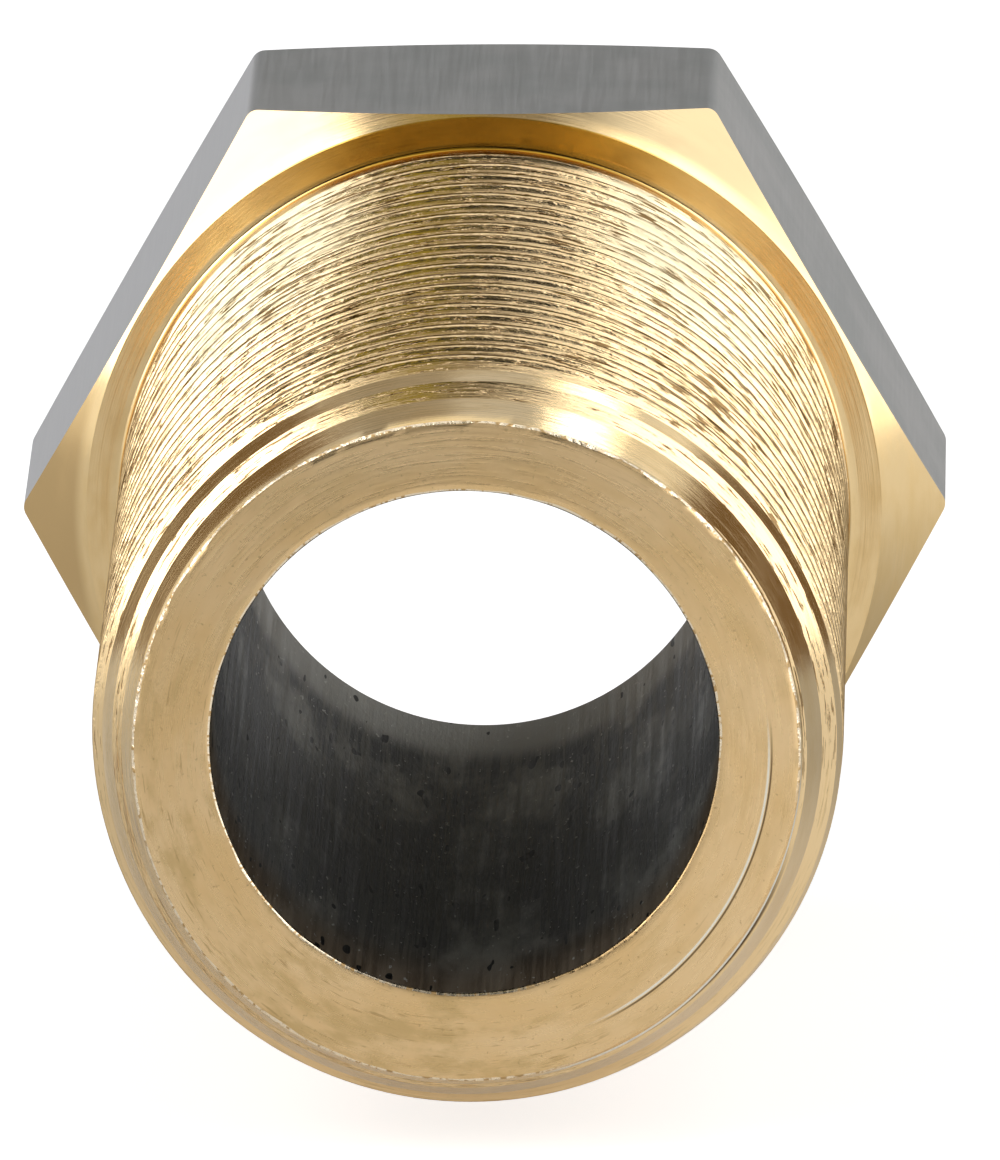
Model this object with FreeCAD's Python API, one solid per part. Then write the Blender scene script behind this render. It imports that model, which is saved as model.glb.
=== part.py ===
import FreeCAD, Part
import math
import os

# Male-female nipple turned from hollow hexagon bar, in millimetres.
# It lies on one flat of the hexagon with its axis along Y and its male end towards -Y.
# Stations are measured along the axis from the male end face.

# Parallel pipe thread of half inch size, left plain at its crest diameters
thread_major_diameter = 20.955
thread_depth = 1.162
male_undersize = 0.205

# Male stub
stub_length = 41.2
wall_under_thread = 2.21
end_chamfer_below_root = 0.02
end_chamfer_angle = 20.0
bore_edge_break = 0.13
shoulder_fillet = 0.3

# Hexagon
hex_length = 13.3
hex_edge_radius = 0.4
hex_chamfer_bite = 0.1
hex_chamfer_angle = 30.0

# Female end
solid_behind_shoulder = 3.5
drill_point_angle = 118.0
mouth_clearance = 0.1225
mouth_angle = 90.0
mouth_land = 0.8

# Radii that follow from the thread
male_radius = (thread_major_diameter - male_undersize) / 2
male_root_radius = male_radius - thread_depth
female_radius = thread_major_diameter / 2 - thread_depth
bore_radius = male_root_radius - wall_under_thread
end_face_radius = male_root_radius - end_chamfer_below_root
mouth_radius = thread_major_diameter / 2 + mouth_clearance

# Hexagon sizes that follow from the female mouth
hex_apothem = mouth_radius + mouth_land
hex_corner_reach = hex_apothem / math.cos(math.radians(30))
hex_chamfer_radius = hex_apothem - hex_chamfer_bite
hex_chamfer_drop = (hex_corner_reach - hex_chamfer_radius) * math.tan(math.radians(hex_chamfer_angle))

# Stations along the axis
end_chamfer_length = (male_radius - end_face_radius) / math.tan(math.radians(end_chamfer_angle))
total_length = stub_length + hex_length
bore_end = stub_length + solid_behind_shoulder
drill_point_length = (female_radius - bore_radius) / math.tan(math.radians(drill_point_angle / 2))
mouth_depth = (mouth_radius - female_radius) / math.tan(math.radians(mouth_angle / 2))


def corner(station, radius):
    return FreeCAD.Vector(radius, station, 0)


def turned(edges):
    """Solid turned about the axis from a closed outline of edges."""
    face = Part.Face(Part.Wire(edges))
    return face.revolve(FreeCAD.Vector(0, 0, 0), FreeCAD.Vector(0, 1, 0), 360)


def lines(corners):
    """Straight edges through the corners in order."""
    return [Part.LineSegment(start, end).toShape() for start, end in zip(corners, corners[1:])]


def hexagon_bar():
    """Bar with a flat on top, its long edges softened as drawn stock has them."""
    corners = []
    for side in range(7):
        turn = math.radians(60 * side)
        corners.append(FreeCAD.Vector(math.cos(turn), 0, math.sin(turn)) * hex_corner_reach)
    bar = Part.Face(Part.makePolygon(corners)).extrude(FreeCAD.Vector(0, total_length, 0))
    long_edges = [edge for edge in bar.Edges if abs(edge.Length - total_length) < 1e-6]
    return bar.makeFillet(hex_edge_radius, long_edges)


def outside_cut():
    """What the outer turning leaves: end chamfer, stub, shoulder fillet and both hexagon chamfers."""
    fillet_start = corner(stub_length - shoulder_fillet, male_radius)
    fillet_end = corner(stub_length, male_radius + shoulder_fillet)
    middle = shoulder_fillet * (1 - math.cos(math.radians(45)))
    fillet_middle = corner(stub_length - middle, male_radius + middle)
    stub = lines([
        corner(0, 0),
        corner(0, end_face_radius),
        corner(end_chamfer_length, male_radius),
        fillet_start,
    ])
    hexagon = lines([
        fillet_end,
        corner(stub_length, hex_chamfer_radius),
        corner(stub_length + hex_chamfer_drop, hex_corner_reach),
        corner(total_length - hex_chamfer_drop, hex_corner_reach),
        corner(total_length, hex_chamfer_radius),
        corner(total_length, 0),
        corner(0, 0),
    ])
    fillet = Part.Arc(fillet_start, fillet_middle, fillet_end).toShape()
    return turned(stub + [fillet] + hexagon)


def bore():
    """Through bore of the stub with its broken edge at the male end."""
    return turned(lines([
        corner(0, 0),
        corner(0, bore_radius + bore_edge_break),
        corner(bore_edge_break, bore_radius),
        corner(bore_end, bore_radius),
        corner(bore_end, 0),
        corner(0, 0),
    ]))


def female_hole():
    """Tapping hole with its drill point at the bottom and its countersunk mouth."""
    return turned(lines([
        corner(bore_end, 0),
        corner(bore_end, bore_radius),
        corner(bore_end + drill_point_length, female_radius),
        corner(total_length - mouth_depth, female_radius),
        corner(total_length, mouth_radius),
        corner(total_length, 0),
        corner(bore_end, 0),
    ]))


def nipple_body():
    """The one piece, lying on a flat of its hexagon and centred over the origin."""
    hollow = bore().fuse(female_hole()).removeSplitter()
    body = hexagon_bar().common(outside_cut()).cut(hollow).removeSplitter()
    body.translate(FreeCAD.Vector(0, -total_length / 2, hex_apothem))
    return body


os.makedirs("parts", exist_ok=True)
nipple_body().exportStep("parts/nipple_body.step")
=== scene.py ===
import bmesh
import bpy
import math
from mathutils import Matrix, Vector, noise as patterns


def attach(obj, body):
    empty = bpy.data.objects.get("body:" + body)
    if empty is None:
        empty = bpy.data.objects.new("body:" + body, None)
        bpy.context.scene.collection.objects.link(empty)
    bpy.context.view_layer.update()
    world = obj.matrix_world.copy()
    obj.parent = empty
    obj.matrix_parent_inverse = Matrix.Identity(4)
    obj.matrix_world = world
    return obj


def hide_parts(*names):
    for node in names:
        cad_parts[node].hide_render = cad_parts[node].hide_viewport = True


# Male-female nipple with its threads cut. Sizes are in millimetres and become metres in the mesh.
# Stations are measured along the axis from the male end face, and turns are from the top, clockwise
# as the photograph shows them.

# Millimetres in a metre
metre = 1000

# The solid's driving sizes
thread_major_diameter = 20.955
thread_depth = 1.162
male_undersize = 0.205
stub_length = 41.2
wall_under_thread = 2.21
end_chamfer_below_root = 0.02
end_chamfer_angle = 20.0
hex_length = 13.3
hex_edge_radius = 0.4
hex_chamfer_bite = 0.1
hex_chamfer_angle = 30.0
solid_behind_shoulder = 3.5
drill_point_angle = 118.0
mouth_clearance = 0.1225
mouth_land = 0.8

# The solid's sizes that follow from them
male_crest_radius = (thread_major_diameter - male_undersize) / 2
male_root_radius = male_crest_radius - thread_depth
female_radius = thread_major_diameter / 2 - thread_depth
bore_radius = male_root_radius - wall_under_thread
end_face_radius = male_root_radius - end_chamfer_below_root
mouth_radius = thread_major_diameter / 2 + mouth_clearance
hex_apothem = mouth_radius + mouth_land
hex_chamfer_radius = hex_apothem - hex_chamfer_bite
total_length = stub_length + hex_length
bore_end = stub_length + solid_behind_shoulder
female_start = bore_end + (female_radius - bore_radius) / math.tan(math.radians(drill_point_angle / 2))

# Form of both threads, with 14 turns to the inch
pitch = 25.4 / 14
flank_angle = 27.5
root_round = 0.249
crest_round = 0.11
apex_above_ridge = 0.29

# Where the threads run: one ridge of each at the top of the piece, and the stretch where its depth fades.
# The gap is from the shoulder, and the depths are from the female end.
male_ridge = 2.52
male_runout_gap = 0.4
male_runout_end = stub_length - male_runout_gap
male_runout_length = 0.9
female_ridge_depth = 7.6
female_ridge = total_length - female_ridge_depth
female_runout_depth = 7.5
female_runout_start = total_length - female_runout_depth
female_runout_length = 2.2

# Small things that the photographed piece has
shoulder_fillet = 0.12
bore_shift = (-0.05, 0.25)
lip_size = 0.055
lip_middle_shares = (0.3, 0.4)
lip_unevenness = {"least": 0.25, "most": 1.55, "often": 9.0, "seed": 3.0}
rim_size = 0.08
rim_middle_share = 0.3
rim_unevenness = {"least": 0.6, "most": 1.4, "often": 7.0, "seed": 5.0}
face_slope = 0.06

# Steps of the mesh
columns_per_side = 28
corner_turns = (-1.5, -0.89, -0.6, -0.3, 0, 0.3, 0.6, 0.89, 1.5)
clear_of_corner = 1.9
crest_steps = 3
root_steps = 5
spare_turns = 1
face_steps = 12
fillet_steps = 4
shoulder_steps = 4
hex_chamfer_steps = 6
flat_steps = 8
back_steps = 2
drill_point_steps = 4
bore_steps = 8
cone_tolerance = 1e-3
merge_distance = 4e-7
sharp_angle = 28.0

# Camera at the photograph's viewing angle
camera_aim = (0.000614, 0.000055, 0.011693)
camera_distance = 1.26799
camera_azimuth = 0.7192
camera_elevation = 9.3286
camera_roll = 0.354
camera_lens = 1400.0

# Colours of the turned brass
face_deep = (0.86, 0.59, 0.28)
face_light = (0.94, 0.68, 0.37)
face_stain = (0.66, 0.46, 0.20)
face_scratch = (0.50, 0.33, 0.14)
face_speck = (0.42, 0.27, 0.12)
# Painted shade and painted highlight of the tool's arc on the face
tool_arc_shade = (0.20, 0.13, 0.06)
tool_arc_glint = (1.0, 0.95, 0.80)
turned_light = (0.91, 0.68, 0.36)
turned_deep = (0.86, 0.62, 0.30)
# Painted highlight beside the lip, below on the right
edge_glint = (1.0, 0.97, 0.85)
torn_brown = (0.45, 0.27, 0.15)
# Painted shade on the shoulder above the stub and on three corners of the front chamfer
shoulder_shade = (0.56, 0.32, 0.05)
corner_shades = {30: (0.48, 0.37, 0.21), -30: (0.72, 0.52, 0.28), -90: (0.66, 0.46, 0.22)}
# The lip's pale colour is a painted sheen on the tool's bright edge, left out below on the right
lip_sheen = (0.98, 0.84, 0.62)
lip_torn = (0.55, 0.36, 0.16)
lip_without_sheen = (0.80, 0.55, 0.27)
thread_light = (0.91, 0.68, 0.38)
thread_line = (0.74, 0.51, 0.22)
# Painted sheen on pale stretches of the thread
thread_sheen = (1.0, 0.88, 0.60)
# Dark colour of torn pits in the thread, with painted shade
thread_pit_shade = (0.24, 0.15, 0.065)
thread_edge_tint = (0.45, 0.32, 0.18, 1)
# Painted shade in the first groove
groove_shade = (0.10, 0.06, 0.03)

# Colours of the bar's drawn skin, outside and in the bore, with painted light on the left flats and painted
# shade and light in the bore
skin_deep = (0.41, 0.42, 0.415)
skin_light = (0.48, 0.48, 0.475)
# Painted light on the two flats at the left
skin_left_painted_light = (0.60, 0.62, 0.655)
# Painted shade that makes the bore near black
bore_shade_black = (0.006, 0.007, 0.005)
bore_line = (0.13, 0.13, 0.115)
bore_cloud = (0.30, 0.30, 0.27)
bore_near = (0.22, 0.16, 0.10)
# Painted light far in the bore
bore_far_painted_light = (0.36, 0.36, 0.33)
bore_grain = (0.5, 0.5, 0.47)
bore_pit = (0.001, 0.001, 0.001)

# Places of the marks: the radii or stations that they lie or fade between
tool_arc_glint_radii = (8.30, 8.36)
tool_arc_shade_radii = (8.38, 8.43)
edge_glint_radii = (end_face_radius + 0.03, end_face_radius + 0.11)
groove_radii = (9.2, 9.38)
groove_stations = (1.2, 1.4)
torn_stations = (1.5, 2.5)
ring_fade_stations = (4.0, 8.0)
sheen_stations = (14.0, 32.0)
shoulder_shade_stations = (stub_length - 0.3, stub_length + 0.02)
corner_shade_stations = (stub_length + 0.15, stub_length + 2)
bore_near_stations = (1.0, 8.0)
bore_far_stations = (37.5, 41.0)

# Roughness of each finish where it is smoothest and roughest, and what a stretch of painted sheen adds to it
face_roughness = (0.24, 0.36)
turned_roughness = (0.11, 0.2)
lip_roughness = (0.18, 0.4)
thread_roughness = (0.10, 0.20)
skin_roughness = (0.44, 0.50)
bore_roughness = (0.48, 0.60)
sheen_extra_roughness = 0.34

# Heights of the marks, in the bump distance of their own material
face_ring_height = 0.005
face_speck_height = 0.004
turned_torn_height = 9.0
thread_line_height = 0.08
thread_grain_height = 0.02
thread_dash_depth = 0.07
thread_ragged_height = 0.5
thread_torn_height = 0.8

# Roughness of every noise, and the values that most of it lies between
noise_roughness = 0.6
noise_range = (0.3, 0.7)

# Sockets of the mix node that are for colours, since their names are those of others too
mix_inputs = (6, 7)
mix_output = 2

# Studio, in metres. The metal sees the floor brighter on the right, and dark behind the object there.
world_strength = 0.35
floor_half = 4.5
floor_colour = 0.6
floor_roughness = 0.9
floor_lift = 0.74
floor_lift_in_metal = (0.138, 0.345)
floor_change_across = (-0.03, 0.03)
floor_dark_across = (0.0, 0.03)
floor_dark_along = (-0.03, 0.02)
card_steps = 12


def photograph_camera():
    """Camera that looks at the object as the photograph does."""
    azimuth = math.radians(camera_azimuth)
    elevation = math.radians(camera_elevation)
    roll = math.radians(camera_roll)
    ahead = Vector((
        -math.sin(azimuth) * math.cos(elevation),
        math.cos(azimuth) * math.cos(elevation),
        -math.sin(elevation),
    ))
    level = ahead.cross(Vector((0, 0, 1))).normalized()
    level_up = level.cross(ahead)
    right = level * math.cos(roll) - level_up * math.sin(roll)
    up = right.cross(ahead)
    data = bpy.data.cameras.new("camera")
    data.sensor_width = 36.0
    data.lens = camera_lens
    data.clip_start = 0.1
    data.clip_end = 10.0
    camera = bpy.data.objects.new("camera", data)
    turn = Matrix((right, up, -ahead)).transposed().to_4x4()
    camera.matrix_world = Matrix.Translation(Vector(camera_aim) - ahead * camera_distance) @ turn
    bpy.context.scene.collection.objects.link(camera)
    bpy.context.scene.camera = camera


def smooth_step(value):
    """The value held between 0 and 1 and eased at both ends."""
    value = min(max(value, 0.0), 1.0)
    return value * value * (3 - 2 * value)


def thread_form():
    """One thread from its ridge to the next root: distances along the axis and depths below the ridge."""
    steepest = math.pi / 2 - math.radians(flank_angle)
    land = apex_above_ridge * math.tan(math.radians(flank_angle)) - crest_round * math.tan(steepest / 2)
    points = []
    for side in (-1, 1):
        for step in range(crest_steps + 1):
            lean = steepest * (step / crest_steps if side > 0 else 1 - step / crest_steps)
            across = land + crest_round * math.sin(lean)
            points.append((side * across, crest_round * (1 - math.cos(lean))))
    for step in range(root_steps + 1):
        lean = steepest * (2 * step / root_steps - 1)
        across = pitch / 2 + root_round * math.sin(lean)
        points.append((across, thread_depth - root_round * (1 - math.cos(lean))))
    return points


def male_depth_left(station):
    """Share of the male thread's depth that is left near the shoulder."""
    return smooth_step((male_runout_end - station) / male_runout_length)


def female_depth_left(station):
    """Share of the female thread's depth that is left near the drill point."""
    return smooth_step((station - female_runout_start) / female_runout_length)


def thread_points(turn, ridge_station, start, end, depth_left):
    """Stations and depths below the ridge along one line of the thread, clamped between two stations."""
    form = thread_form()
    first = ridge_station + pitch * turn / (2 * math.pi)
    lowest = math.floor((start - ridge_station) / pitch) - spare_turns
    count = math.ceil((end - start) / pitch) + 2 * spare_turns + 1
    points = []
    for number in range(lowest, lowest + count):
        for across, drop in form:
            station = first + pitch * number + across
            points.append((station, drop * depth_left(station)))
    clamped = []
    for station, drop in points:
        if start <= station <= end:
            clamped.append((station, drop))
        else:
            nearest = min(max(station, start), end)
            clamped.append((nearest, depth_between(points, nearest)))
    return clamped


def depth_between(points, station):
    """Depth at a station on the straight lines between the points."""
    for (low, low_drop), (high, high_drop) in zip(points, points[1:]):
        if low <= station <= high and high > low:
            share = (station - low) / (high - low)
            return low_drop + (high_drop - low_drop) * share
    return 0.0


def cone_crossing(low, high, cone):
    """Where the line between two points meets the chamfer, kept between them."""
    low_gap = low[1] - cone(low[0])
    high_gap = high[1] - cone(high[0])
    if low_gap * high_gap >= 0:
        return high if abs(low_gap) > abs(high_gap) else low
    share = low_gap / (low_gap - high_gap)
    station = low[0] + (high[0] - low[0]) * share
    return (station, cone(station))


def cut_by_cone(points, cone, keep):
    """The points trimmed by a chamfer, with a point of its own at each crossing. keep is min or max."""
    trimmed = []
    for low, high in zip(points, points[1:]):
        trimmed.append((low[0], keep(low[1], cone(low[0]))))
        station, radius = cone_crossing(low, high, cone)
        trimmed.append((station, keep(radius, cone(station))))
    last = points[-1]
    trimmed.append((last[0], keep(last[1], cone(last[0]))))
    return trimmed


def end_chamfer(station):
    """Radius of the chamfer's cone at the male end."""
    return end_face_radius + station * math.tan(math.radians(end_chamfer_angle))


def mouth_chamfer(station):
    """Radius of the countersink at the female end, which slopes at 45 degrees."""
    return mouth_radius - (total_length - station)


def male_thread(turn):
    """Stations and radii along the male thread, from the lip to the shoulder's fillet."""
    drops = thread_points(turn, male_ridge, lip_size, stub_length - shoulder_fillet, male_depth_left)
    points = [(station, male_crest_radius - drop) for station, drop in drops]
    return cut_by_cone(points, end_chamfer, min)


def female_thread(turn):
    """Stations and radii along the female thread, from the drill point to the mouth."""
    drops = thread_points(turn, female_ridge, female_start, total_length, female_depth_left)
    points = [(station, female_radius + drop) for station, drop in drops]
    return cut_by_cone(points, mouth_chamfer, max)


def hexagon_radius(turn):
    """Distance from the axis to the hexagon's outline, with its softened corners."""
    half_side = math.pi / 6
    from_flat = abs((turn + half_side) % (2 * half_side) - half_side)
    round_start = math.atan(math.tan(half_side) * (1 - hex_edge_radius / hex_apothem))
    if from_flat <= round_start:
        return hex_apothem / math.cos(from_flat)
    from_corner = half_side - from_flat
    round_centre = (hex_apothem - hex_edge_radius) / math.cos(half_side)
    across = round_centre * math.sin(from_corner)
    return round_centre * math.cos(from_corner) + math.sqrt(hex_edge_radius ** 2 - across ** 2)


def steps_between(start, end, count):
    """Points on the line from one point to another, without the last."""
    return [
        (start[0] + (end[0] - start[0]) * step / count, start[1] + (end[1] - start[1]) * step / count)
        for step in range(count)
    ]


def arc(centre, radius, start, end, count):
    """Points of an arc in stations and radii, its angles in degrees from the axis."""
    points = []
    for step in range(count + 1):
        angle = math.radians(start + (end - start) * step / count)
        points.append((centre[0] + radius * math.cos(angle), centre[1] + radius * math.sin(angle)))
    return points


def uneven(turn, least, most, often, seed):
    """A smooth wander between two values round the axis."""
    value = patterns.noise(Vector((math.sin(turn) * often, math.cos(turn) * often, seed)))
    return least + (most - least) * min(max(0.5 + value, 0.0), 1.0)


def outline(turn):
    """The closed outline of the body on one side of the axis, as runs of points named for their finish."""
    lip = lip_size * uneven(turn, **lip_unevenness)
    rim = rim_size * uneven(turn, **rim_unevenness)
    hexagon = hexagon_radius(turn)
    drop = (hexagon - hex_chamfer_radius) * math.tan(math.radians(hex_chamfer_angle))
    face_inside = (0.0, bore_radius + rim)
    face_outside = (0.0, end_face_radius - lip)
    lip_middle = (lip_size * lip_middle_shares[0], end_face_radius - lip * lip_middle_shares[1])
    fillet_centre = (stub_length - shoulder_fillet, male_crest_radius + shoulder_fillet)
    shoulder = (stub_length, male_crest_radius + shoulder_fillet)
    front_circle = (stub_length, hex_chamfer_radius)
    front_corner = (stub_length + drop, hexagon)
    back_corner = (total_length - drop, hexagon)
    back_circle = (total_length, hex_chamfer_radius)
    mouth = (total_length, mouth_radius)
    drill_point_outside = (female_start, female_radius)
    drill_point_inside = (bore_end, bore_radius)
    rim_inside = (rim, bore_radius)
    rim_middle = (rim * rim_middle_share, bore_radius + rim * rim_middle_share)
    return [
        ("face", steps_between(face_inside, face_outside, face_steps)),
        ("lip", [face_outside, lip_middle]),
        ("thread", male_thread(turn)),
        ("turned", arc(fillet_centre, shoulder_fillet, -90, 0, fillet_steps)),
        ("turned", steps_between(shoulder, front_circle, shoulder_steps)),
        ("turned", steps_between(front_circle, front_corner, hex_chamfer_steps)),
        ("skin", steps_between(front_corner, back_corner, flat_steps)),
        ("turned", steps_between(back_corner, back_circle, hex_chamfer_steps)),
        ("turned", steps_between(back_circle, mouth, back_steps)),
        ("female", list(reversed(female_thread(turn)))),
        ("turned", steps_between(drill_point_outside, drill_point_inside, drill_point_steps)),
        ("bore", steps_between(drill_point_inside, rim_inside, bore_steps)),
        ("rim", [rim_inside, rim_middle]),
    ]


def place(name, station, radius, turn):
    """A point of the outline in metres. The bore runs beside the axis, as it does in the piece of bar."""
    if name in ("bore", "rim"):
        share = 1.0
    elif name == "face":
        share = (end_face_radius - radius) / (end_face_radius - bore_radius)
    elif station > bore_end and radius < female_radius:
        share = (female_radius - radius) / (female_radius - bore_radius)
    else:
        share = 0.0
    sideways = radius * math.sin(turn) + bore_shift[0] * share
    upwards = radius * math.cos(turn) + bore_shift[1] * share
    return Vector((sideways, station - total_length / 2, hex_apothem + upwards)) / metre


def column_turns():
    """Turns of the mesh's columns, from below round to below again, closer at the hexagon's corners."""
    side = 60
    turns = [-180 + side / columns_per_side * number for number in range(6 * columns_per_side + 1)]
    for corner in range(-150, 180, side):
        turns = [turn for turn in turns if abs(turn - corner) > clear_of_corner]
        turns += [corner + extra for extra in corner_turns]
    return [math.radians(turn) for turn in sorted(turns)]


def finish_of(name, corners):
    """The finish of one face: the thread's ridges are turned where a chamfer has cut them."""
    if name not in ("thread", "female"):
        return name
    chamfer = end_chamfer if name == "thread" else mouth_chamfer
    on_cone = all(abs(radius - chamfer(station)) < cone_tolerance for station, radius in corners)
    return "turned" if on_cone else name


def nipple_mesh(finishes):
    """The whole body as one closed skin, column by column round the axis."""
    mesh = bmesh.new()
    slots = {name: index for index, name in enumerate(finishes)}
    columns = []
    for turn in column_turns():
        points = [(name, *point) for name, run in outline(turn) for point in run]
        vertices = [mesh.verts.new(place(name, station, radius, turn)) for name, station, radius in points]
        columns.append((points, vertices))
    for (left, left_vertices), (right, right_vertices) in zip(columns, columns[1:]):
        for row in range(len(left)):
            following = (row + 1) % len(left)
            face = mesh.faces.new((
                left_vertices[row], left_vertices[following],
                right_vertices[following], right_vertices[row],
            ))
            corners = [points[index][1:] for points in (left, right) for index in (row, following)]
            face.material_index = slots[finish_of(left[row][0], corners)]
    bmesh.ops.remove_doubles(mesh, verts=mesh.verts, dist=merge_distance)
    bmesh.ops.dissolve_degenerate(mesh, edges=mesh.edges, dist=merge_distance)
    bmesh.ops.recalc_face_normals(mesh, faces=mesh.faces)
    for face in mesh.faces:
        face.smooth = True
    for edge in mesh.edges:
        if len(edge.link_faces) == 2 and edge.calc_face_angle() > math.radians(sharp_angle):
            edge.smooth = False
    data = bpy.data.meshes.new("threaded_nipple")
    mesh.to_mesh(data)
    mesh.free()
    return data


def math_node(tree, operation, first, second=None):
    """Output of a math node whose inputs are outputs of other nodes or plain numbers."""
    node = tree.nodes.new("ShaderNodeMath")
    node.operation = operation
    for socket, value in zip(node.inputs, (first, second)):
        if value is None:
            continue
        if isinstance(value, (int, float)):
            socket.default_value = value
        else:
            tree.links.new(value, socket)
    return node.outputs[0]


def times(tree, first, second):
    """Product of two outputs or numbers."""
    return math_node(tree, "MULTIPLY", first, second)


def plus(tree, first, second):
    """Sum of two outputs or numbers."""
    return math_node(tree, "ADD", first, second)


def minus(tree, first, second):
    """The first output or number less the second."""
    return math_node(tree, "SUBTRACT", first, second)


def spread(tree, value, old, new):
    """Value mapped smoothly from one range to another and held at its ends."""
    node = tree.nodes.new("ShaderNodeMapRange")
    node.interpolation_type = "SMOOTHSTEP"
    tree.links.new(value, node.inputs["Value"])
    for name, number in zip(("From Min", "From Max", "To Min", "To Max"), (*old, *new)):
        node.inputs[name].default_value = number
    return node.outputs[0]


def above(tree, value, low, high, most=1.0):
    """Zero up to the low value, and the most from the high value on."""
    return spread(tree, value, (low, high), (0.0, most))


def below(tree, value, low, high):
    """One up to the low value, and zero from the high value on."""
    return spread(tree, value, (low, high), (1.0, 0.0))


def between(tree, value, ends, soft):
    """One between two values and zero outside them, with soft ends."""
    low, high = ends
    rise = above(tree, value, low - soft, low + soft)
    fall = below(tree, value, high - soft, high + soft)
    return times(tree, rise, fall)


def towards(tree, where, turn, narrow, wide, elsewhere=0.0):
    """One within narrow degrees of a turn about the axis, falling to a given share at wide degrees."""
    sideways = times(tree, where["sine"], math.sin(math.radians(turn)))
    upwards = times(tree, where["cosine"], math.cos(math.radians(turn)))
    reach = (math.cos(math.radians(wide)), math.cos(math.radians(narrow)))
    return spread(tree, plus(tree, sideways, upwards), reach, (elsewhere, 1.0))


def mixed(tree, factor, first, second):
    """Colour between two colours, each an output or three numbers."""
    node = tree.nodes.new("ShaderNodeMix")
    node.data_type = "RGBA"
    tree.links.new(factor, node.inputs["Factor"])
    for index, value in zip(mix_inputs, (first, second)):
        if isinstance(value, tuple):
            node.inputs[index].default_value = (*value, 1)
        else:
            tree.links.new(value, node.inputs[index])
    return node.outputs[mix_output]


def layered(tree, colour, layers):
    """Colour with others laid over it one after another, each as far as its factor says."""
    for factor, layer in layers:
        colour = mixed(tree, factor, colour, layer)
    return colour


def noise_round(tree, where, around, travelled, detail):
    """Noise that closes on itself round the axis, with one more output for its third coordinate."""
    point = tree.nodes.new("ShaderNodeCombineXYZ")
    coordinates = (times(tree, where["sine"], around), times(tree, where["cosine"], around), travelled)
    for socket, value in zip(point.inputs, coordinates):
        tree.links.new(value, socket)
    node = tree.nodes.new("ShaderNodeTexNoise")
    node.inputs["Scale"].default_value = 1.0
    node.inputs["Detail"].default_value = detail
    node.inputs["Roughness"].default_value = noise_roughness
    tree.links.new(point.outputs[0], node.inputs["Vector"])
    return node.outputs["Fac"]


def object_point(tree):
    """The three coordinates of the shaded point, in metres."""
    split = tree.nodes.new("ShaderNodeSeparateXYZ")
    tree.links.new(tree.nodes.new("ShaderNodeTexCoord").outputs["Object"], split.inputs[0])
    return list(split.outputs)


def turned_coordinates(tree):
    """Sine and cosine of the turn, its angle, and the radius and the station in millimetres."""
    x, y, z = (times(tree, coordinate, metre) for coordinate in object_point(tree))
    upwards = minus(tree, z, hex_apothem)
    square = plus(tree, times(tree, x, x), times(tree, upwards, upwards))
    radius = math_node(tree, "SQRT", square)
    return {
        "sine": math_node(tree, "DIVIDE", x, radius),
        "cosine": math_node(tree, "DIVIDE", upwards, radius),
        "angle": math_node(tree, "ARCTAN2", x, upwards),
        "radius": radius,
        "station": plus(tree, y, total_length / 2),
    }


def streaks(tree, where, around, across, follow=0.0, detail=3.0, offset=0.0):
    """Noise drawn out round the axis. It changes faster round the axis with around, and faster across its
    streaks with across. follow is how far along the axis a streak climbs in one turn, in millimetres, and
    another offset gives another pattern of the same kind."""
    travelled = plus(tree, where["radius"], where["station"])
    travelled = minus(tree, travelled, times(tree, where["angle"], follow / (2 * math.pi)))
    travelled = plus(tree, times(tree, travelled, across), offset)
    return noise_round(tree, where, around, travelled, detail)


def drawn_lines(tree, where, around, along, detail=4.0):
    """Noise drawn out along the axis, as the marks of the drawing die are."""
    return noise_round(tree, where, around, times(tree, where["station"], along), detail)


def bumped(tree, shader, height, distance, strength):
    """Gives the shader a fine relief, which is the distance in metres where the height is one."""
    node = tree.nodes.new("ShaderNodeBump")
    node.inputs["Distance"].default_value = distance
    node.inputs["Strength"].default_value = strength
    tree.links.new(height, node.inputs["Height"])
    tree.links.new(node.outputs[0], shader.inputs["Normal"])


def metal(name):
    """A new metal material, with its node tree and its shader."""
    material = bpy.data.materials.new(name)
    material.use_nodes = True
    shader = material.node_tree.nodes["Principled BSDF"]
    shader.inputs["Metallic"].default_value = 1.0
    return material, material.node_tree, shader


def finished(tree, shader, colour, roughness):
    """Gives the shader its colour and its roughness."""
    tree.links.new(colour, shader.inputs["Base Color"])
    tree.links.new(roughness, shader.inputs["Roughness"])


def worn_marks(tree, where):
    """Stains and scratches of the face, strongest below on the left, as layers of colour."""
    wear_and_sheen = towards(tree, where, turn=-140, narrow=35, wide=95, elsewhere=0.35)
    stains = streaks(tree, where, around=4.0, across=1.3, detail=5.0, offset=12.0)
    scratches = streaks(tree, where, around=7.0, across=11.0, offset=31.0)
    return (
        (times(tree, above(tree, stains, 0.46, 0.66, most=0.7), wear_and_sheen), face_stain),
        (times(tree, above(tree, scratches, 0.60, 0.68, most=0.6), wear_and_sheen), face_scratch),
    )


def tool_arc(tree, where):
    """Painted shade and painted highlight of the double line that the tool has left on the face below on the
    right, as layers of colour.
    """
    near = towards(tree, where, turn=120, narrow=24, wide=38)
    shade = between(tree, where["radius"], tool_arc_shade_radii, soft=0.02)
    glint = between(tree, where["radius"], tool_arc_glint_radii, soft=0.02)
    return ((times(tree, shade, near), tool_arc_shade), (times(tree, glint, near), tool_arc_glint))


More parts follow.
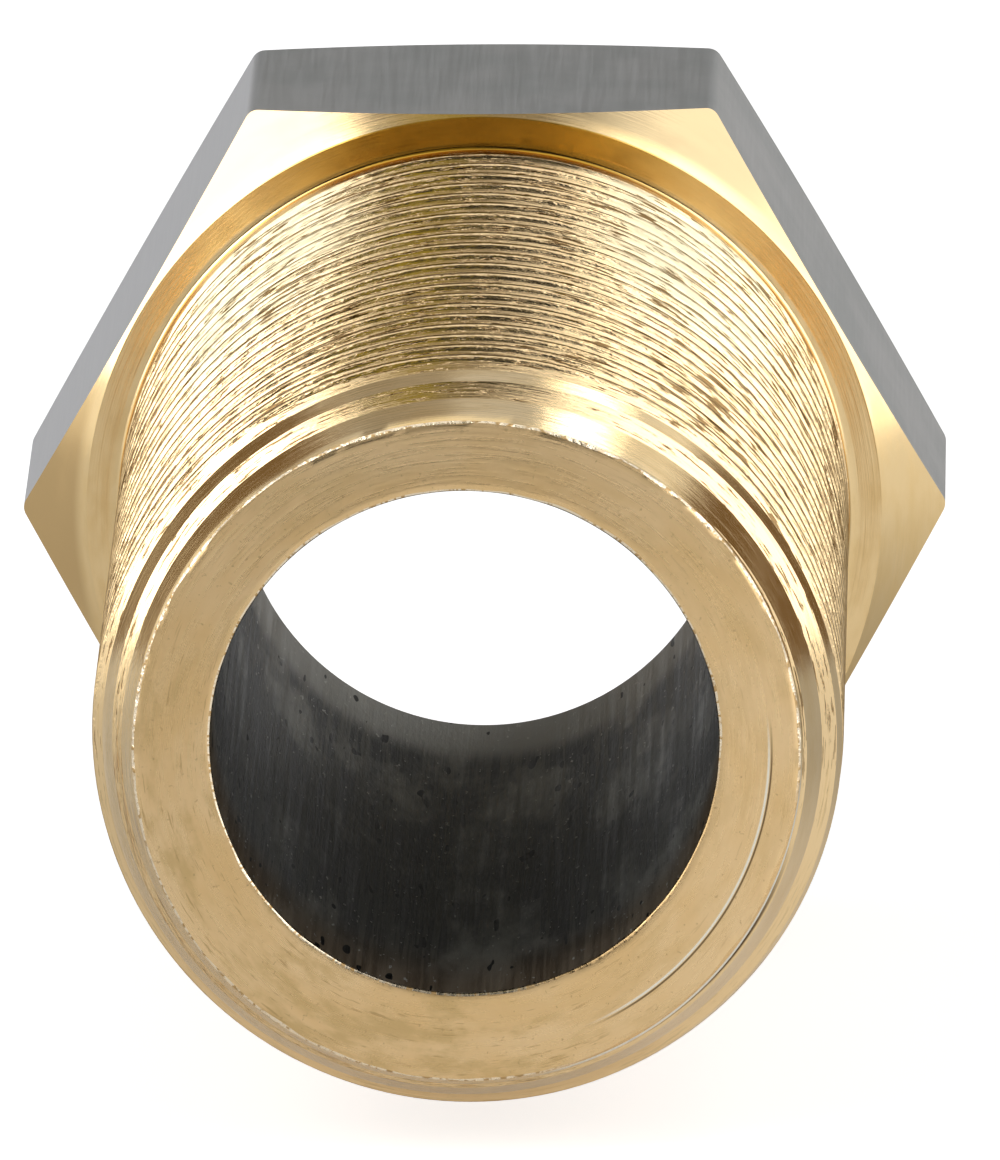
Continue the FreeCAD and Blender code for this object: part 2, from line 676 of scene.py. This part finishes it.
def face_brass():
    """Satin end face with faint turning rings, stains, scratches, and the painted shade and painted
    highlight of an arc left by the tool.
    """
    material, tree, shader = metal("face_brass")
    where = turned_coordinates(tree)
    rings = streaks(tree, where, around=3.0, across=9.0)
    patches = streaks(tree, where, around=2.0, across=0.5, offset=7.0)
    specks = streaks(tree, where, around=60.0, across=6.0, offset=3.0)
    colour = layered(tree, face_deep, (
        (above(tree, patches, *noise_range), face_light),
        *worn_marks(tree, where),
        (above(tree, specks, 0.64, 0.74, most=0.5), face_speck),
        *tool_arc(tree, where),
    ))
    finished(tree, shader, colour, spread(tree, rings, noise_range, face_roughness))
    marks = plus(tree, times(tree, rings, face_ring_height), times(tree, specks, face_speck_height))
    height = minus(tree, marks, times(tree, where["radius"], face_slope))
    bumped(tree, shader, height, distance=1e-3, strength=1.0)
    return material


def torn_edge(tree, where):
    """Streaks on the stub's edge below on the left, where the tool has torn it."""
    torn = streaks(tree, where, around=7.0, across=12.0, offset=41.0)
    near_face = below(tree, where["station"], *torn_stations)
    on_the_left = towards(tree, where, turn=-140, narrow=45, wide=75)
    return times(tree, torn, times(tree, near_face, on_the_left))


def torn_layer(tree, torn):
    """The colour of a torn edge as a layer."""
    return (above(tree, torn, 0.52, 0.62, most=0.4), torn_brown)


def low_on_the_right(tree, where):
    """One on the stretch of the stub's edge where the lip lacks its painted sheen and a painted highlight
    runs beside it.
    """
    return towards(tree, where, turn=130, narrow=26, wide=42)


def hexagon_shades(tree, where):
    """Painted shade on three corners of the front chamfer and on the shoulder above the stub, as layers of
    colour.
    """
    on_chamfer = between(tree, where["station"], corner_shade_stations, soft=0.1)
    on_shoulder = between(tree, where["station"], shoulder_shade_stations, soft=0.01)
    layers = []
    for corner, shade_colour in corner_shades.items():
        near = towards(tree, where, turn=corner, narrow=6, wide=24)
        layers.append((times(tree, on_chamfer, near), shade_colour))
    above_stub = towards(tree, where, turn=0, narrow=12, wide=40)
    layers.append((times(tree, on_shoulder, above_stub), shoulder_shade))
    return layers


def turned_brass():
    """Bright turned chamfers and shoulders, with a torn edge, a painted highlight beside the lip, and
    painted shade on the shoulder and on three corners of the front chamfer.
    """
    material, tree, shader = metal("turned_brass")
    where = turned_coordinates(tree)
    rings = streaks(tree, where, around=2.0, across=14.0)
    patches = streaks(tree, where, around=5.0, across=1.2, offset=5.0)
    torn = torn_edge(tree, where)
    # Painted highlight beside the lip, below on the right
    painted_highlight_line = between(tree, where["radius"], edge_glint_radii, soft=0.02)
    colour = layered(tree, turned_light, (
        (above(tree, patches, 0.35, 0.7), turned_deep),
        torn_layer(tree, torn),
        (times(tree, painted_highlight_line, low_on_the_right(tree, where)), edge_glint),
        *hexagon_shades(tree, where),
    ))
    finished(tree, shader, colour, spread(tree, patches, noise_range, turned_roughness))
    height = times(tree, rings, spread(tree, where["station"], ring_fade_stations, (1.0, 0.45)))
    height = plus(tree, height, times(tree, torn, turned_torn_height))
    bumped(tree, shader, height, distance=1.2e-5, strength=0.5)
    return material


def lip_brass(name, raggedness):
    """The bright edge that the facing tool leaves, torn in places, with a pale colour that paints its sheen
    except below on the right.
    """
    material, tree, shader = metal(name)
    where = turned_coordinates(tree)
    torn = streaks(tree, where, around=45.0, across=5.0)
    colour = layered(tree, lip_sheen, (
        (above(tree, torn, 0.5, 0.62), lip_torn),
        # Below on the right the lip keeps a darker brass colour, without its painted sheen
        (low_on_the_right(tree, where), lip_without_sheen),
    ))
    finished(tree, shader, colour, spread(tree, torn, noise_range, lip_roughness))
    bumped(tree, shader, torn, distance=6e-5, strength=raggedness)
    return material


def crest_distance(tree, where, ridge_station):
    """Distance along the axis from the nearest ridge of a thread, in millimetres."""
    turns = math_node(tree, "DIVIDE", minus(tree, where["station"], ridge_station), pitch)
    turns = minus(tree, turns, math_node(tree, "DIVIDE", where["angle"], 2 * math.pi))
    share = minus(tree, math_node(tree, "FRACT", plus(tree, turns, 0.5)), 0.5)
    return times(tree, math_node(tree, "ABSOLUTE", share), pitch)


def torn_shaded_dashes(tree, where):
    """Short dashes along the turns of the thread, torn pits darkened with painted shade, few of them on the
    underside.
    """
    dashes = streaks(tree, where, around=10.0, across=12.0, follow=pitch, detail=4.0, offset=9.0)
    patches = streaks(tree, where, around=2.2, across=0.12, offset=4.0)
    torn = above(tree, plus(tree, dashes, times(tree, patches, 0.22)), 0.68, 0.725)
    return times(tree, torn, spread(tree, where["cosine"], (-0.3, 0.25), (0.15, 1.0)))


def sheen_stretches(tree, where):
    """Dull pale stretches of painted sheen on the thread towards the shoulder, between its top and its
    sides.
    """
    patches = streaks(tree, where, around=3.5, across=0.25, offset=23.0)
    near_shoulder = above(tree, where["station"], *sheen_stations)
    beside_top = between(tree, where["cosine"], (0.62, 0.93), soft=0.06)
    wear_and_sheen = times(tree, spread(tree, patches, (0.36, 0.52), (0.3, 1.0)), near_shoulder)
    return times(tree, wear_and_sheen, beside_top)


def first_groove_shade(tree, where):
    """One on the painted shade, a dark line in the first groove below on the right."""
    near_face = below(tree, where["station"], *groove_stations)
    near_line = towards(tree, where, turn=142, narrow=14, wide=38)
    in_groove = between(tree, where["radius"], groove_radii, soft=0.03)
    return times(tree, times(tree, near_line, near_face), in_groove)


def thread_brass(name, ridge_station):
    """Threads with long drawn lines, ragged crests, short dark dashes of torn pits with painted shade, dull
    stretches of painted sheen, a torn edge, and painted shade in the first groove.
    """
    material, tree, shader = metal(name)
    where = turned_coordinates(tree)
    lines = streaks(tree, where, around=4.5, across=14.0, follow=pitch)
    grain = streaks(tree, where, around=60.0, across=14.0, detail=2.0, offset=2.0)
    ragged = streaks(tree, where, around=16.0, across=3.0, follow=pitch, offset=17.0)
    crest = below(tree, crest_distance(tree, where, ridge_station), 0.16, 0.24)
    dashes = torn_shaded_dashes(tree, where)
    wear_and_sheen = sheen_stretches(tree, where)
    torn = torn_edge(tree, where)
    colour = layered(tree, thread_light, (
        (above(tree, lines, 0.5, 0.7, most=0.35), thread_line),
        # Painted sheen on stretches towards the shoulder
        (wear_and_sheen, thread_sheen),
        # Torn pits darkened with painted shade
        (dashes, thread_pit_shade),
        torn_layer(tree, torn),
        # Painted shade in the first groove
        (first_groove_shade(tree, where), groove_shade),
    ))
    roughness = spread(tree, lines, noise_range, thread_roughness)
    roughness = plus(tree, roughness, times(tree, wear_and_sheen, sheen_extra_roughness))
    finished(tree, shader, colour, roughness)
    shader.inputs["Specular Tint"].default_value = thread_edge_tint
    height = plus(tree, times(tree, lines, thread_line_height), times(tree, grain, thread_grain_height))
    height = minus(tree, height, times(tree, dashes, thread_dash_depth))
    height = plus(tree, height, times(tree, crest, times(tree, ragged, thread_ragged_height)))
    height = plus(tree, height, times(tree, torn, thread_torn_height))
    bumped(tree, shader, height, distance=1e-4, strength=1.0)
    return material


def bar_skin():
    """Grey drawn skin of the bar on the hexagon's flats, with painted light that makes the two at the left
    paler.
    """
    material, tree, shader = metal("bar_skin")
    where = turned_coordinates(tree)
    lines = drawn_lines(tree, where, around=90.0, along=0.15)
    clouds = drawn_lines(tree, where, around=4.0, along=0.2)
    colour = layered(tree, skin_deep, (
        (above(tree, clouds, *noise_range), skin_light),
        # Painted light on the two flats at the left
        (below(tree, where["sine"], -0.52, -0.48), skin_left_painted_light),
    ))
    finished(tree, shader, colour, spread(tree, lines, noise_range, skin_roughness))
    bumped(tree, shader, lines, distance=2e-6, strength=0.5)
    return material


def bore_skin():
    """Skin of the bore, made near black with painted shade, streaked along it, brown near the face and paler
    far in with painted light, with small pits.
    """
    material, tree, shader = metal("bore_skin")
    where = turned_coordinates(tree)
    lines = drawn_lines(tree, where, around=34.0, along=0.06)
    clouds = drawn_lines(tree, where, around=3.5, along=0.1)
    pits = drawn_lines(tree, where, around=17.0, along=0.4, detail=1.0)
    grains = drawn_lines(tree, where, around=50.0, along=1.4, detail=2.0)
    # The near-black base colour is painted shade
    colour = layered(tree, bore_shade_black, (
        (above(tree, lines, 0.46, 0.58), bore_line),
        (above(tree, clouds, 0.45, 0.68, most=0.9), bore_cloud),
        (spread(tree, where["station"], bore_near_stations, (0.7, 0.0)), bore_near),
        # Painted light far in the bore
        (above(tree, where["station"], *bore_far_stations, most=0.8), bore_far_painted_light),
        (above(tree, grains, 0.67, 0.71, most=0.9), bore_grain),
        (above(tree, pits, 0.69, 0.71), bore_pit),
    ))
    finished(tree, shader, colour, spread(tree, lines, noise_range, bore_roughness))
    bumped(tree, shader, plus(tree, lines, grains), distance=4e-5, strength=0.5)
    return material


def nipple_piece():
    """The one piece, which stands for the solid and has a finish for each kind of surface."""
    finishes = {
        "face": face_brass(),
        "lip": lip_brass("lip_brass", raggedness=0.8),
        "thread": thread_brass("thread_brass", male_ridge),
        "turned": turned_brass(),
        "skin": bar_skin(),
        "female": thread_brass("female_thread_brass", female_ridge),
        "bore": bore_skin(),
        "rim": lip_brass("rim_brass", raggedness=0.1),
    }
    piece = bpy.data.objects.new("threaded_nipple", nipple_mesh(finishes))
    for material in finishes.values():
        piece.data.materials.append(material)
    bpy.context.scene.collection.objects.link(piece)
    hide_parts("nipple_body")
    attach(piece, "root")


def seen_by(tree, *rays):
    """One for the kinds of ray that are named, and zero for all others."""
    path = tree.nodes.new("ShaderNodeLightPath")
    seen = path.outputs[rays[0]]
    for ray in rays[1:]:
        seen = math_node(tree, "MAXIMUM", seen, path.outputs[ray])
    return seen


def floor_glow(tree):
    """How far the floor is lifted: to white for the camera, and less and unevenly in the metal."""
    across, along = object_point(tree)[:2]
    dark = times(tree, above(tree, across, *floor_dark_across), above(tree, along, *floor_dark_along))
    in_metal = spread(tree, across, floor_change_across, floor_lift_in_metal)
    in_metal = times(tree, in_metal, minus(tree, 1.0, dark))
    in_metal = times(tree, seen_by(tree, "Is Glossy Ray"), in_metal)
    directly = seen_by(tree, "Is Camera Ray", "Is Transmission Ray")
    return plus(tree, times(tree, directly, floor_lift), in_metal)


def floor():
    """Plain pale floor that keeps the object's shadow."""
    corners = [(x * floor_half, y * floor_half, 0) for x, y in ((-1, -1), (1, -1), (1, 1), (-1, 1))]
    data = bpy.data.meshes.new("floor")
    data.from_pydata(corners, [], [(0, 1, 2, 3)])
    piece = bpy.data.objects.new("floor", data)
    bpy.context.scene.collection.objects.link(piece)
    material = bpy.data.materials.new("pale_floor")
    material.use_nodes = True
    tree = material.node_tree
    shader = tree.nodes["Principled BSDF"]
    shader.inputs["Base Color"].default_value = (floor_colour, floor_colour, floor_colour, 1)
    shader.inputs["Roughness"].default_value = floor_roughness
    glow = tree.nodes.new("ShaderNodeEmission")
    tree.links.new(floor_glow(tree), glow.inputs["Strength"])
    both = tree.nodes.new("ShaderNodeAddShader")
    tree.links.new(shader.outputs[0], both.inputs[0])
    tree.links.new(glow.outputs[0], both.inputs[1])
    tree.links.new(both.outputs[0], tree.nodes["Material Output"].inputs["Surface"])
    data.materials.append(material)


def world_light():
    """White all round to the camera and in the metal, and weaker as light."""
    world = bpy.data.worlds.new("studio")
    bpy.context.scene.world = world
    world.use_nodes = True
    tree = world.node_tree
    background = tree.nodes["Background"]
    background.inputs["Color"].default_value = (1, 1, 1, 1)
    seen = seen_by(tree, "Is Camera Ray", "Is Glossy Ray", "Is Transmission Ray")
    strength = plus(tree, times(tree, seen, 1 - world_strength), world_strength)
    tree.links.new(strength, background.inputs["Strength"])


def direction(azimuth, elevation):
    """Direction from the object: azimuth 0 is towards the camera and 90 to its right."""
    turn, lift = math.radians(azimuth), math.radians(elevation)
    return Vector((math.sin(turn) * math.cos(lift), -math.cos(turn) * math.cos(lift), math.sin(lift)))


def softbox(name, azimuth, elevation, distance, width, height, radiance):
    """A rectangular lamp that faces the object and that the camera doesn't see."""
    data = bpy.data.lights.new(name, "AREA")
    data.shape = "RECTANGLE"
    data.size = width
    data.size_y = height
    data.energy = radiance * math.pi * width * height
    lamp = bpy.data.objects.new(name, data)
    away = direction(azimuth, elevation)
    lamp.location = away * distance
    lamp.rotation_mode = "QUATERNION"
    lamp.rotation_quaternion = away.to_track_quat("Z", "Y")
    lamp.visible_camera = False
    bpy.context.scene.collection.objects.link(lamp)


def card(name, azimuths, elevations, distance, colour):
    """A curved card far from the object, which glows in its colour for the metal to reflect."""
    corners = []
    for elevation in elevations:
        for step in range(card_steps + 1):
            azimuth = azimuths[0] + (azimuths[1] - azimuths[0]) * step / card_steps
            corners.append(direction(azimuth, elevation) * distance)
    upper = card_steps + 1
    faces = [(step, step + 1, upper + step + 1, upper + step) for step in range(card_steps)]
    data = bpy.data.meshes.new(name)
    data.from_pydata(corners, [], faces)
    piece = bpy.data.objects.new(name, data)
    piece.visible_camera = False
    bpy.context.scene.collection.objects.link(piece)
    material = bpy.data.materials.new(name)
    material.use_nodes = True
    tree = material.node_tree
    glow = tree.nodes.new("ShaderNodeEmission")
    glow.inputs["Color"].default_value = (*colour, 1)
    tree.links.new(glow.outputs[0], tree.nodes["Material Output"].inputs["Surface"])
    data.materials.append(material)


def lamps():
    """A softbox on each side of the camera, and a small lamp behind the object on the right."""
    softbox("left_softbox", azimuth=-46, elevation=30, distance=3.6, width=3.4, height=2.7, radiance=2.5)
    softbox("right_softbox", azimuth=46, elevation=25, distance=3.6, width=3.4, height=3.0, radiance=1.35)
    softbox("back_lamp", azimuth=154, elevation=46, distance=3.3, width=0.5, height=0.8, radiance=4.0)


def backdrops():
    """Cards behind the object, which its chamfers, flats and the thread's crests reflect."""
    card("left_backdrop", azimuths=(206, 229), elevations=(0, 45), distance=3.6, colour=(0.19, 0.13, 0.07))
    card("right_backdrop", azimuths=(125, 147), elevations=(0, 31), distance=3.6, colour=(0.17, 0.11, 0.055))
    card("high_backdrop", azimuths=(100, 260), elevations=(38, 62), distance=3.8, colour=(0.60, 0.62, 0.68))
    card("far_backdrop", azimuths=(158, 202), elevations=(3, 43), distance=3.6, colour=(0.16, 0.155, 0.14))
    card(
        "left_high_backdrop",
        azimuths=(184, 206), elevations=(38, 62), distance=3.7, colour=(0.38, 0.36, 0.34),
    )


def front_cards():
    """Cards beside and above the camera, which the thread's front flanks reflect."""
    card("dark_front", azimuths=(-26, 20), elevations=(0, 49), distance=3.6, colour=(0.03, 0.03, 0.03))
    card("yellow_front", azimuths=(-16, -3), elevations=(15, 60), distance=3.5, colour=(0.30, 0.26, 0.05))
    card("grey_front", azimuths=(-24, 16), elevations=(49, 84), distance=3.6, colour=(0.34, 0.31, 0.26))


bpy.context.scene.view_settings.view_transform = "Standard"
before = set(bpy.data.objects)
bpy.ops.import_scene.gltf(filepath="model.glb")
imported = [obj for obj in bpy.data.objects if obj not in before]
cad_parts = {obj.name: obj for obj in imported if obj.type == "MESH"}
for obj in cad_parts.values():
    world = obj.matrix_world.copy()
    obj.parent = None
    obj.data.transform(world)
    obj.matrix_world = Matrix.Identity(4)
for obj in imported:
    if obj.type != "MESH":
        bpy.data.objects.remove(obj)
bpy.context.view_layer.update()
photograph_camera()
nipple_piece()
floor()
world_light()
lamps()
backdrops()
front_cards()
